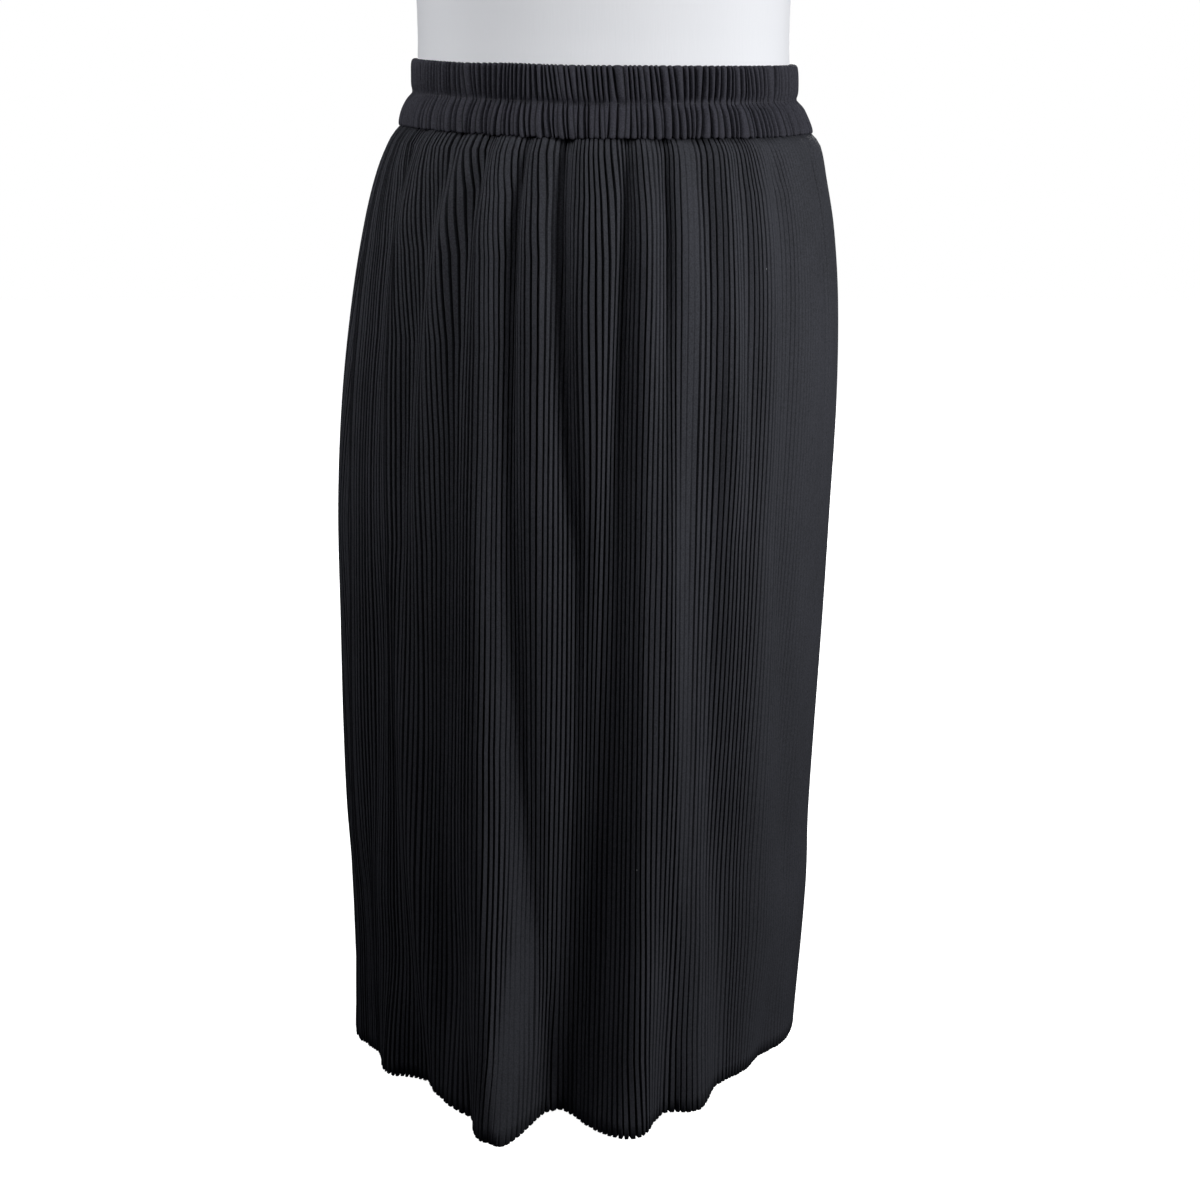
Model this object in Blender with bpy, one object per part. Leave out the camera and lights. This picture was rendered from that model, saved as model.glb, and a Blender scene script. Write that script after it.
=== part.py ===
# Pleated pull-on skirt with a gathered elastic waistband, standing on a plain limbless dress form.
# Units are metres, +Z is up, the front faces -Y, and the origin is the middle of the stand's underside.
# A "turn" is the direction round the body in degrees: 0 is the front, 90 the +X side, 180 the back.
# A "reach" is how far a section stands out from the pole's axis on one side.
import math
from bisect import bisect_right

import bmesh
import bpy

# Driving sizes of the skirt
SKIRT_LENGTH = 0.7830
HEM_Z = 0.022
BAND_HEIGHT = 0.0456
SEAM_GAP = 0.0003
PLEATS_PER_PANEL = 60
PLEAT_DEPTH = 0.0030
CLOTH_WALL = 0.0015
GATHERS = 80
BAND_WALL = 0.0028

# Driving sizes of the dress form and its stand
POLE_RADIUS = 0.0125
BASE_RADIUS = 0.115
BASE_THICKNESS = 0.008
BASE_EDGE_ROUNDING = 0.002
FORM_SEGMENTS = 40
ROUND_SEGMENTS = 32

PANEL_TOP = SKIRT_LENGTH - BAND_HEIGHT
BAND_BOTTOM = PANEL_TOP + SEAM_GAP
SIDE_SEAM_TURN = 90.0
RING_SAMPLES = 720

# Cross-sections of the pleated cloth between its folds, from the hem up.
# height above the hem, reach left, reach right, reach front, reach back
SKIRT_SECTIONS = (
    (0.0000, 0.2132, 0.1638, 0.1310, 0.1330),
    (0.1980, 0.2118, 0.1692, 0.1350, 0.1420),
    (0.3725, 0.2085, 0.1752, 0.1410, 0.1520),
    (0.4550, 0.2063, 0.1772, 0.1430, 0.1560),
    (0.5350, 0.2000, 0.1790, 0.1430, 0.1560),
    (0.6120, 0.1890, 0.1772, 0.1415, 0.1510),
    (0.6670, 0.1775, 0.1720, 0.1375, 0.1430),
    (0.7040, 0.1665, 0.1650, 0.1330, 0.1345),
    (0.7290, 0.1575, 0.1580, 0.1275, 0.1250),
    (PANEL_TOP, 0.1530, 0.1535, 0.1240, 0.1200),
)

# Heights above the hem at which the panels have a ring of points.
PANEL_HEIGHTS = (0.0, 0.075, 0.190, 0.330, 0.470, 0.585, 0.665, 0.712, PANEL_TOP)

# Soft folds that hang from the gathers. Swells stand out from the sections above.
# turn at top, at middle, at hem, width at top, at hem before it, after it, swell at top, at middle, at hem
FOLDS = (
    (0.0, 0.0, 1.6, 30.0, 32.0, 21.0, 0.000, 0.004, 0.012),
    (-68.0, -66.0, -52.6, 5.0, 6.0, 13.0, 0.003, 0.004, 0.009),
    (-51.0, -44.0, -32.1, 5.0, 6.0, 7.5, 0.004, 0.005, 0.018),
    (-38.5, -36.0, -30.0, 4.6, 7.0, 8.0, 0.005, 0.004, 0.000),
    (-26.5, -23.5, -15.2, 5.0, 9.0, 4.1, 0.007, 0.015, 0.064),
    (-14.6, -11.5, -7.0, 4.6, 7.0, 7.0, 0.008, 0.010, 0.000),
    (-3.2, -1.5, 0.0, 4.6, 7.0, 7.0, 0.008, 0.006, 0.000),
    (8.5, 12.0, 4.4, 4.8, 7.9, 8.6, 0.008, 0.014, 0.042),
    (17.5, 23.0, 22.2, 4.2, 6.0, 7.2, 0.005, 0.005, 0.022),
    (28.0, 38.0, 46.0, 5.0, 8.0, 9.0, 0.003, 0.005, 0.000),
    (180.0, 180.0, 178.0, 30.0, 28.0, 30.0, 0.000, 0.004, 0.012),
    (118.0, 116.0, 114.0, 6.0, 9.0, 9.0, 0.003, 0.004, 0.006),
    (134.0, 136.0, 139.0, 5.0, 8.0, 8.0, 0.005, 0.008, 0.018),
    (148.0, 147.0, 148.0, 4.8, 8.0, 8.0, 0.007, 0.007, 0.000),
    (161.0, 163.0, 166.0, 5.0, 8.0, 9.0, 0.008, 0.013, 0.040),
    (174.0, 176.0, 178.0, 4.6, 8.0, 8.0, 0.008, 0.006, 0.000),
    (187.0, 185.0, 184.0, 4.8, 8.0, 8.0, 0.008, 0.008, 0.000),
    (199.5, 197.5, 193.0, 5.0, 8.0, 9.0, 0.008, 0.014, 0.046),
    (212.5, 212.0, 210.0, 4.6, 8.0, 8.0, 0.007, 0.005, 0.000),
    (226.0, 224.0, 220.0, 5.0, 8.0, 8.0, 0.005, 0.009, 0.020),
    (244.0, 246.0, 248.0, 6.0, 9.0, 9.0, 0.003, 0.004, 0.006),
)
FOLD_TOP_HEIGHT = 0.665
FOLD_MIDDLE_HEIGHT = 0.330
FOLD_SHARE_AT_SEAM = 0.25

# The waistband from its lower seam to its top edge, drawn in at the stitch line between its two tiers.
# height above the hem, side reach, front reach, back reach, gather depth
BAND_SECTIONS = (
    (BAND_BOTTOM, 0.1540, 0.1250, 0.1210, 0.0020),
    (0.7440, 0.1515, 0.1228, 0.1184, 0.0028),
    (0.7520, 0.1465, 0.1185, 0.1138, 0.0026),
    (0.7600, 0.1413, 0.1138, 0.1088, 0.0014),
    (0.7660, 0.1398, 0.1123, 0.1073, 0.0022),
    (0.7760, 0.1395, 0.1120, 0.1070, 0.0022),
    (SKIRT_LENGTH, 0.1385, 0.1110, 0.1060, 0.0014),
)

# Sections of the dress form from its underside up to the neck.
# height above the floor, side reach, front reach, back reach
FORM_SECTIONS = (
    (0.4500, 0.1180, 0.0900, 0.0950),
    (0.4560, 0.1400, 0.1080, 0.1140),
    (0.4760, 0.1560, 0.1210, 0.1280),
    (0.5250, 0.1675, 0.1295, 0.1395),
    (0.5900, 0.1700, 0.1310, 0.1420),
    (0.6500, 0.1655, 0.1280, 0.1365),
    (0.7100, 0.1550, 0.1205, 0.1230),
    (0.7500, 0.1450, 0.1145, 0.1125),
    (0.7820, 0.1376, 0.1102, 0.1052),
    (0.7900, 0.1362, 0.1088, 0.1038),
    (0.8050, 0.1352, 0.1077, 0.1027),
    (0.8250, 0.1345, 0.1065, 0.1005),
    (0.8600, 0.1352, 0.1075, 0.0990),
    (0.9000, 0.1405, 0.1130, 0.0990),
    (0.9450, 0.1480, 0.1250, 0.1010),
    (0.9850, 0.1540, 0.1360, 0.1040),
    (1.0150, 0.1575, 0.1375, 0.1060),
    (1.0550, 0.1625, 0.1275, 0.1080),
    (1.1000, 0.1700, 0.1100, 0.1080),
    (1.1450, 0.1775, 0.0945, 0.1030),
    (1.1750, 0.1780, 0.0820, 0.0930),
    (1.1950, 0.1670, 0.0740, 0.0840),
    (1.2120, 0.1340, 0.0675, 0.0745),
    (1.2280, 0.0920, 0.0610, 0.0650),
    (1.2450, 0.0650, 0.0560, 0.0580),
    (1.2650, 0.0565, 0.0530, 0.0540),
    (1.2960, 0.0540, 0.0510, 0.0520),
    (1.3000, 0.0500, 0.0475, 0.0485),
)


def clear_scene():
    for item in list(bpy.data.objects):
        bpy.data.objects.remove(item, do_unlink=True)


def finish_material(name, colour, roughness, metallic):
    material = bpy.data.materials.new(name)
    material.use_nodes = True
    shader = material.node_tree.nodes["Principled BSDF"]
    shader.inputs["Base Color"].default_value = (*colour, 1.0)
    shader.inputs["Roughness"].default_value = roughness
    shader.inputs["Metallic"].default_value = metallic
    return material


def section_at(table, height):
    """One row of a section table at any height, on a smooth curve through the rows."""
    heights = [row[0] for row in table]
    height = min(max(height, heights[0]), heights[-1])
    low = min(max(bisect_right(heights, height) - 1, 0), len(table) - 2)
    span = heights[low + 1] - heights[low]
    along = (height - heights[low]) / span
    values = []
    for column in range(1, len(table[0])):
        slopes = []
        for row in (low, low + 1):
            before, after = max(row - 1, 0), min(row + 1, len(table) - 1)
            rise = table[after][column] - table[before][column]
            slopes.append(rise / (heights[after] - heights[before]) * span)
        start, end = table[low][column], table[low + 1][column]
        bend = (2 * start - 2 * end + slopes[0] + slopes[1]) * along**3
        bend += (3 * end - 3 * start - 2 * slopes[0] - slopes[1]) * along**2
        values.append(start + slopes[0] * along + bend)
    return values


def blend(start, end, share):
    return start + (end - start) * share


def eased(share):
    share = min(max(share, 0.0), 1.0)
    return share * share * (3.0 - 2.0 * share)


def oval_point(turn, left, right, front, back):
    """A point of an oval with its own reach on each of its four sides."""
    across, ahead = math.sin(math.radians(turn)), math.cos(math.radians(turn))
    return (
        across * (right if across > 0 else left),
        -ahead * (front if ahead > 0 else back),
    )


def along_fold(height, at_top, at_middle, at_hem):
    """A fold's size at a height, on a curve through its three stated sizes."""
    up = min(height / FOLD_TOP_HEIGHT, 1.0)
    middle = FOLD_MIDDLE_HEIGHT / FOLD_TOP_HEIGHT
    hem_share = (1.0 - up) * (middle - up) / middle
    middle_share = up * (1.0 - up) / (middle * (1.0 - middle))
    top_share = up * (up - middle) / (1.0 - middle)
    return at_top * top_share + at_middle * middle_share + at_hem * hem_share


def fold_swell(turn, height):
    """How far the soft folds lift the cloth off its plain section."""
    total = 0.0
    down = eased(1.0 - height / FOLD_TOP_HEIGHT)
    for fold in FOLDS:
        away = (turn - along_fold(height, *fold[:3]) + 180.0) % 360.0 - 180.0
        wide_top, wide_before, wide_after = fold[3:6]
        wide = blend(wide_top, wide_before if away < 0 else wide_after, down)
        total += along_fold(height, *fold[6:]) * math.exp(-((away / wide) ** 2))
    near_seam = eased((height - FOLD_TOP_HEIGHT) / (PANEL_TOP - FOLD_TOP_HEIGHT))
    return total * blend(1.0, FOLD_SHARE_AT_SEAM, near_seam)


def cloth_point(turn, height):
    """A point in the middle of the pleats, folds included."""
    left, right, front, back = section_at(SKIRT_SECTIONS, height)
    x, y = oval_point(turn, left, right, front, back)
    out = math.hypot(x, y)
    lifted = 1.0 + fold_swell(turn, height) / out
    return x * lifted, y * lifted


def even_run(points, count, closed):
    """Points at equal steps along a plan line, each with the line's outward direction."""
    line = points + points[:1] if closed else points
    lengths = [0.0]
    for one, two in zip(line, line[1:]):
        lengths.append(lengths[-1] + math.dist(one, two))
    steps = count if closed else count - 1
    run = []
    for step in range(count):
        target = lengths[-1] * step / steps
        at = min(max(bisect_right(lengths, target) - 1, 0), len(line) - 2)
        share = (target - lengths[at]) / (lengths[at + 1] - lengths[at])
        one, two = line[at], line[at + 1]
        along_x, along_y = two[0] - one[0], two[1] - one[1]
        size = math.hypot(along_x, along_y)
        place = (blend(one[0], two[0], share), blend(one[1], two[1], share))
        run.append((place, (along_y / size, -along_x / size)))
    return run


def moved_out(place, outward, distance, z):
    return (place[0] + outward[0] * distance, place[1] + outward[1] * distance, z)


def solid_between(name, outer, inner, closed, material):
    """A wall between two grids of rings, both listed from the bottom up."""
    width = len(outer[0])
    rings = outer + inner
    points = [point for ring in rings for point in ring]
    inner_start = len(outer)
    columns = range(width if closed else width - 1)

    def corner(ring, column):
        return ring * width + column % width

    def strip(low, high):
        return [
            (corner(low, c), corner(low, c + 1), corner(high, c + 1), corner(high, c))
            for c in columns
        ]

    faces = []
    for ring in range(len(outer) - 1):
        faces += strip(ring, ring + 1)
    for ring in range(inner_start, len(rings) - 1):
        faces += strip(ring + 1, ring)
    faces += strip(inner_start, 0)
    faces += strip(inner_start - 1, len(rings) - 1)
    if not closed:
        for column in (0, width - 1):
            edge = [corner(ring, column) for ring in range(len(outer))]
            back_edge = [corner(ring, column) for ring in range(inner_start, len(rings))]
            for low in range(len(edge) - 1):
                faces.append((edge[low], edge[low + 1], back_edge[low + 1], back_edge[low]))
    return mesh_object(name, points, faces, material)


def mesh_object(name, points, faces, material):
    mesh = bpy.data.meshes.new(name)
    mesh.from_pydata(points, [], faces)
    shape = bmesh.new()
    shape.from_mesh(mesh)
    bmesh.ops.recalc_face_normals(shape, faces=shape.faces)
    shape.to_mesh(mesh)
    shape.free()
    mesh.materials.append(material)
    item = bpy.data.objects.new(name, mesh)
    bpy.context.scene.collection.objects.link(item)
    return item


def make_panel(name, start_turn, material):
    """Half of the skirt between the side seams, in accordion pleats from seam to hem."""
    outer, inner = [], []
    for height in PANEL_HEIGHTS:
        line = []
        for sample in range(RING_SAMPLES // 2 + 1):
            turn = start_turn + 180.0 * sample / (RING_SAMPLES // 2)
            line.append(cloth_point(turn, height))
        line[0] = trimmed(line[0], line[1])
        line[-1] = trimmed(line[-1], line[-2])
        run = even_run(line, 2 * PLEATS_PER_PANEL + 1, closed=False)
        z = HEM_Z + height
        outer_ring, inner_ring = [], []
        for column, (place, outward) in enumerate(run):
            zigzag = PLEAT_DEPTH / 2 * (1 if column % 2 else -1)
            outer_ring.append(moved_out(place, outward, zigzag, z))
            inner_ring.append(moved_out(place, outward, zigzag - CLOTH_WALL, z))
        outer.append(outer_ring)
        inner.append(inner_ring)
    return solid_between(name, outer, inner, False, material)


def trimmed(end, neighbour):
    """A line's end drawn back by half of the gap at a side seam."""
    share = SEAM_GAP / 2 / math.dist(end, neighbour)
    return blend(end[0], neighbour[0], share), blend(end[1], neighbour[1], share)


def band_line(side, front, back):
    turns = [360.0 * sample / RING_SAMPLES for sample in range(RING_SAMPLES)]
    return [oval_point(turn, side, side, front, back) for turn in turns]


def make_waistband(material):
    """Two gathered tiers of one folded strip, plain on the inside where the elastic lies."""
    outer, inner = [], []
    for height, side, front, back, depth in BAND_SECTIONS:
        z = HEM_Z + height
        run = even_run(band_line(side, front, back), 2 * GATHERS, closed=True)
        ring = []
        for column, (place, outward) in enumerate(run):
            zigzag = depth / 2 * (1 if column % 2 else -1)
            ring.append(moved_out(place, outward, zigzag, z))
        outer.append(ring)
        inner.append([moved_out(place, outward, -BAND_WALL, z) for place, outward in run])
    return solid_between("waistband", outer, inner, True, material)


def make_form_body(material):
    """The jersey-covered body, closed flat underneath and at the neck."""
    points, faces = [], []
    for height, side, front, back in FORM_SECTIONS:
        for segment in range(FORM_SEGMENTS):
            turn = 360.0 * segment / FORM_SEGMENTS
            points.append((*oval_point(turn, side, side, front, back), height))
    rings = len(FORM_SECTIONS)
    for ring in range(rings - 1):
        for segment in range(FORM_SEGMENTS):
            low, nxt = ring * FORM_SEGMENTS, (segment + 1) % FORM_SEGMENTS
            high = low + FORM_SEGMENTS
            faces.append((low + segment, low + nxt, high + nxt, high + segment))
    faces.append(tuple(range(FORM_SEGMENTS)))
    faces.append(tuple(range((rings - 1) * FORM_SEGMENTS, rings * FORM_SEGMENTS)))
    return mesh_object("form_body", points, faces, material)


def make_round(name, radius, bottom, top, rounding, material):
    """A pole or a plate on the origin's axis, with its rims rounded where that is asked."""
    shape = bmesh.new()
    bmesh.ops.create_cone(
        shape,
        cap_ends=True,
        segments=ROUND_SEGMENTS,
        radius1=radius,
        radius2=radius,
        depth=top - bottom,
    )
    if rounding:
        rims = [edge for edge in shape.edges if any(len(face.verts) > 4 for face in edge.link_faces)]
        bmesh.ops.bevel(
            shape, geom=rims, offset=rounding, segments=2, profile=0.5, affect="EDGES"
        )
    mesh = bpy.data.meshes.new(name)
    shape.to_mesh(mesh)
    shape.free()
    mesh.materials.append(material)
    item = bpy.data.objects.new(name, mesh)
    item.location = (0.0, 0.0, (bottom + top) / 2)
    bpy.context.scene.collection.objects.link(item)
    return item


def main():
    clear_scene()
    pleated = finish_material("black_pleated_crepe", (0.012, 0.013, 0.016), 0.62, 0.0)
    band_cloth = finish_material("black_band_jersey", (0.016, 0.016, 0.019), 0.65, 0.0)
    jersey = finish_material("white_form_jersey", (0.78, 0.79, 0.81), 0.80, 0.0)
    steel = finish_material("white_lacquered_steel", (0.80, 0.80, 0.80), 0.35, 0.0)

    make_panel("skirt_front", -SIDE_SEAM_TURN, pleated)
    make_panel("skirt_back", SIDE_SEAM_TURN, pleated)
    make_waistband(band_cloth)
    make_form_body(jersey)
    form_underside = FORM_SECTIONS[0][0]
    pole_foot = BASE_THICKNESS + SEAM_GAP
    make_round("form_pole", POLE_RADIUS, pole_foot, form_underside - SEAM_GAP, 0.0, steel)
    make_round("form_base", BASE_RADIUS, 0.0, BASE_THICKNESS, BASE_EDGE_ROUNDING, steel)


main()
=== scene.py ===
# Black micro-pleated pull-on skirt on a white jersey dress form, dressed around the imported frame.
# Metres, +Z up, the front looks along -Y. A turn is degrees round the pole: 0 front, 90 the +X side.
import math

import bmesh
import bpy
import numpy as np
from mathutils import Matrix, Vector


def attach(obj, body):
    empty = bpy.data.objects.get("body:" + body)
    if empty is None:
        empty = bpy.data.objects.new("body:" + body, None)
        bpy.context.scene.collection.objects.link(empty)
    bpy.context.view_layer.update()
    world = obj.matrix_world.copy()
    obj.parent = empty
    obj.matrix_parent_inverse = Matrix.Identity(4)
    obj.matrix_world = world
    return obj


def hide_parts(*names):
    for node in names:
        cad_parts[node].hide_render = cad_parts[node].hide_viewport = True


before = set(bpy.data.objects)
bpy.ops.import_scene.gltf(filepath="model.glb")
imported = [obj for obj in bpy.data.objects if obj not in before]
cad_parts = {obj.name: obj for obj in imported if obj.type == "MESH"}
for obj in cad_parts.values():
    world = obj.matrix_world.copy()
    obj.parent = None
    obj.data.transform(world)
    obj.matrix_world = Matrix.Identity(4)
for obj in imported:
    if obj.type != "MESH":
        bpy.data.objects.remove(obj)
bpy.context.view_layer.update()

hemZ = 0.022             # the hem hangs this far above the floor
panelTop = 0.7374        # length of the pleated panels
bandHeight = 0.0456
seamZ = hemZ + panelTop


# Small helpers

def eased(share):
    share = np.clip(share, 0.0, 1.0)
    return share * share * (3.0 - 2.0 * share)


def sectionAt(rows, height):
    # one row of a section table at any height, on a smooth curve through the rows
    rows = np.array(rows)
    heights, sizes = rows[:, 0], rows[:, 1:]
    height = float(np.clip(height, heights[0], heights[-1]))
    low = int(np.clip(np.searchsorted(heights, height, side="right") - 1, 0, len(rows) - 2))
    span = heights[low + 1] - heights[low]
    t = (height - heights[low]) / span

    def slope(row):
        before, after = max(row - 1, 0), min(row + 1, len(rows) - 1)
        return (sizes[after] - sizes[before]) / (heights[after] - heights[before]) * span

    start, end, startSlope, endSlope = sizes[low], sizes[low + 1], slope(low), slope(low + 1)
    bend = (2 * start - 2 * end + startSlope + endSlope) * t**3
    bend += (3 * end - 3 * start - 2 * startSlope - endSlope) * t**2
    return start + startSlope * t + bend


def ovalPoints(turns, left, right, front, back):
    # an oval with its own reach on each of its four sides
    across, ahead = np.sin(np.radians(turns)), np.cos(np.radians(turns))
    x = across * np.where(across > 0, right, left)
    y = -ahead * np.where(ahead > 0, front, back)
    return np.stack([x, y], 1)


def wander(turns, seed, waves, height=0.0, drift=0.0):
    # a smooth random line round the body, about -1 to 1, which drifts slowly with height
    dice = np.random.default_rng(seed)
    total = np.zeros_like(np.asarray(turns, dtype=float))
    for wave in waves:
        phase, sway, strength = dice.uniform(0, 2 * math.pi), dice.normal(), dice.uniform(0.6, 1.0)
        total += strength * np.sin(np.radians(turns) * wave + phase + sway * drift * height)
    return total / math.sqrt(len(waves))


def outwardOf(line, closed):
    # unit normals of a plan line, pointing away from the pole
    if closed:
        along = np.roll(line, -1, 0) - np.roll(line, 1, 0)
    else:
        along = np.gradient(line, axis=0)
    along /= np.linalg.norm(along, axis=1)[:, None]
    return np.stack([along[:, 1], -along[:, 0]], 1)


def shellMesh(name, rings, wrapColumns, wrapRings, uv=None, endCaps=False):
    # one closed skin from rings of points; wrapRings joins the last ring to the first
    rings = np.asarray(rings)
    count, width = rings.shape[:2]
    ring = np.arange(count if wrapRings else count - 1)[:, None]
    column = np.arange(width if wrapColumns else width - 1)[None, :]
    nextRing, nextColumn = (ring + 1) % count, (column + 1) % width
    corners = [ring * width + column, ring * width + nextColumn,
               nextRing * width + nextColumn, nextRing * width + column]
    quads = np.stack(np.broadcast_arrays(*corners), -1).reshape(-1, 4)
    faces = quads.tolist()
    if endCaps:
        faces.append(list(range(width))[::-1])
        faces.append(list(range((count - 1) * width, count * width)))
    mesh = bpy.data.meshes.new(name)
    mesh.from_pydata(rings.reshape(-1, 3).tolist(), [], faces)
    if uv is not None:
        layer = mesh.uv_layers.new(name="cloth")
        loopPoints = np.zeros(len(mesh.loops), dtype=np.int32)
        mesh.loops.foreach_get("vertex_index", loopPoints)
        layer.data.foreach_set("uv", np.asarray(uv).reshape(-1, 2)[loopPoints].ravel().astype(np.float32))
    return mesh


def facesOut(mesh):
    # closed skins get their faces turned outwards
    shape = bmesh.new()
    shape.from_mesh(mesh)
    bmesh.ops.recalc_face_normals(shape, faces=shape.faces)
    shape.to_mesh(mesh)
    shape.free()
    mesh.polygons.foreach_set("use_smooth", [True] * len(mesh.polygons))
    mesh.update()


def newObject(name, data):
    thing = bpy.data.objects.new(name, data)
    bpy.context.scene.collection.objects.link(thing)
    return thing


def addPiece(name, mesh, material, replaced=()):
    mesh.materials.clear()
    mesh.materials.append(material)
    piece = newObject(name, mesh)
    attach(piece, "root")
    if replaced:
        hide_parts(*replaced)
    print(name, "has", sum(len(face.vertices) - 2 for face in mesh.polygons), "triangles")
    return piece


def linear(hexColour):
    # sRGB hex to the linear colour that a shader takes
    channels = [int(hexColour[i:i + 2], 16) / 255 for i in (1, 3, 5)]
    return [c / 12.92 if c <= 0.04045 else ((c + 0.055) / 1.055) ** 2.4 for c in channels] + [1.0]


def newMaterial(name):
    material = bpy.data.materials.new(name)
    material.use_nodes = True
    return material, material.node_tree, material.node_tree.nodes["Principled BSDF"]


def feed(tree, node, settings=None, **links):
    # sets a node's properties and values, and links its inputs to other nodes' sockets
    for key, value in (settings or {}).items():
        if key.startswith("."):
            setattr(node, key[1:], value)
        else:
            node.inputs[int(key) if key.isdigit() else key].default_value = value
    for key, source in links.items():
        socket = node.inputs[int(key[1:]) if key[1:].isdigit() else key.replace("_", " ")]
        tree.links.new(source, socket)
    return node


def addNode(tree, kind, settings=None, **links):
    return feed(tree, tree.nodes.new(kind), settings, **links)


# Camera: the photograph's view, 17.7 degrees down on the skirt from just above its band

view = {
    "place": (-0.0026, -1.335, 0.8225),
    "pitchDown": 17.745,
    "lens": 52.5,
}


def makeCamera():
    data = bpy.data.cameras.new("photoView")
    data.lens = view["lens"]
    data.sensor_width = 36.0
    data.clip_start, data.clip_end = 0.05, 60.0
    camera = newObject("photoView", data)
    camera.location = view["place"]
    camera.rotation_euler = (math.radians(90.0 - view["pitchDown"]), 0.0, 0.0)
    bpy.context.scene.camera = camera


# Pleated cloth: the plain sections, the soft folds, the valleys between them and the pleats

# height above the hem, reach left, right, front, back
skirtSections = (
    (0.0000, 0.2098, 0.1638, 0.1310, 0.1330),
    (0.1300, 0.2117, 0.1702, 0.1336, 0.1388),
    (0.1980, 0.2124, 0.1698, 0.1350, 0.1420),
    (0.3725, 0.2085, 0.1752, 0.1410, 0.1520),
    (0.4550, 0.2063, 0.1772, 0.1430, 0.1560),
    (0.5350, 0.2000, 0.1790, 0.1430, 0.1560),
    (0.6120, 0.1890, 0.1772, 0.1415, 0.1510),
    (0.6670, 0.1775, 0.1720, 0.1375, 0.1430),
    (0.7040, 0.1665, 0.1650, 0.1330, 0.1345),
    (0.7290, 0.1545, 0.1590, 0.1275, 0.1250),
    (panelTop, 0.1474, 0.1515, 0.1224, 0.1184),
)

# turn at top, middle, hem; width at top, at hem before it, after it; swell at top, middle, hem
skirtFolds = (
    (0, 0, 1.6, 30, 32, 21, 0.000, 0.004, 0.012),
    (-68, -66, -52.6, 5, 6, 13, 0.001, 0.002, 0.009),
    (-51, -44, -32.1, 5, 6, 7.5, 0.006, 0.007, 0.018),
    (-38.5, -36, -30, 4.6, 7, 8, 0.007, 0.006, 0.000),
    (-26.5, -23.5, -15.2, 5, 9, 4.1, 0.010, 0.022, 0.064),
    (-14.6, -11.5, -7, 4.6, 7, 7, 0.007, 0.004, 0.000),
    (-3.2, -1.5, 0, 4.6, 7, 7, 0.006, 0.002, 0.000),
    (8.5, 12, 4.4, 4.8, 7.9, 8.6, 0.006, 0.014, 0.042),
    (17.5, 23, 22.2, 4.2, 6, 7.2, 0.002, 0.002, 0.022),
    (28, 38, 46, 5, 8, 9, 0.001, 0.007, 0.000),
    (180, 180, 178, 30, 28, 30, 0.000, 0.004, 0.012),
    (118, 116, 114, 6, 9, 9, 0.003, 0.004, 0.006),
    (134, 136, 139, 5, 8, 8, 0.005, 0.008, 0.018),
    (148, 147, 148, 4.8, 8, 8, 0.007, 0.007, 0.000),
    (161, 163, 166, 5, 8, 9, 0.008, 0.013, 0.040),
    (174, 176, 178, 4.6, 8, 8, 0.008, 0.006, 0.000),
    (187, 185, 184, 4.8, 8, 8, 0.008, 0.008, 0.000),
    (199.5, 197.5, 193, 5, 8, 9, 0.008, 0.014, 0.046),
    (212.5, 212, 210, 4.6, 8, 8, 0.007, 0.005, 0.000),
    (226, 224, 220, 5, 8, 8, 0.005, 0.009, 0.020),
    (244, 246, 248, 6, 9, 9, 0.003, 0.004, 0.006),
)

# valleys between the folds: turn near the seam, half way, near the hem; width near the seam, near the hem;
# depth in mm at the three heights. Most front rows were fitted to the photograph's light and dark and then
# changed, and the rows from 98 degrees on were made up.
skirtValleys = (
    (-81.8, -71.3, -83.1, 3.1, 6.2, 4.9, 4.1, 6.7),
    (-57.6, -50.4, -62.7, 2.6, 5.4, 2.2, 1.8, 6.7),
    (-40.8, -44.4, -50.5, 2.6, 4.2, 4, 2.6, 0.7),
    (-30.5, -26.5, -22.5, 2.2, 7, 5, 5, 8.8),
    (-19.8, -17.6, -17, 1.5, 3, 6, 3.5, 0.5),
    (-10.1, -6.2, -6.2, 2.2, 5, 9.6, 10.4, 6.7),
    (5.7, 1.1, -1.1, 2.2, 6.1, 9, 8.6, 6.6),
    (14.8, 12.7, 11.9, 2.3, 5.1, 7.2, 1.8, 5.6),
    (25.7, 27.4, 27.8, 3.5, 6.4, 7.3, 6.6, 5.5),
    (36, 35.3, 39.4, 3.4, 5.8, 5, 7.4, 3.3),
    (47.8, 47.4, 60.3, 3, 5.5, 4.6, 2.8, 3.6),
    (68.5, 66, 68, 1.6, 4, 4.2, 1, 1.5),
    (98, 97, 95, 2.4, 5, 2.4, 2, 3),
    (112, 113, 115, 3, 5.5, 3.5, 2.5, 4),
    (124.5, 124, 122, 2.4, 5, 4.5, 4, 5.5),
    (138, 139.5, 141, 2.2, 5.5, 5, 5.5, 6),
    (150, 150.5, 153, 1.9, 6, 5.5, 4, 7.5),
    (163.5, 162, 160, 2.3, 5.2, 6, 6.8, 6),
    (176, 178, 181, 2, 5.6, 5.6, 5.5, 7),
    (188.5, 187, 186, 2.3, 5.4, 5.2, 3, 5.2),
    (201, 203, 205, 2.6, 6, 5.8, 6.6, 6.2),
    (214, 213, 211, 2, 5.8, 4.8, 5.2, 7),
    (229, 231, 234, 2.8, 5.5, 4.4, 3.6, 4.8),
    (246, 245, 243, 3, 6, 3.2, 2.6, 4.4),
    (261, 262, 260, 2.2, 5, 2.6, 2, 3.6),
)

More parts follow.
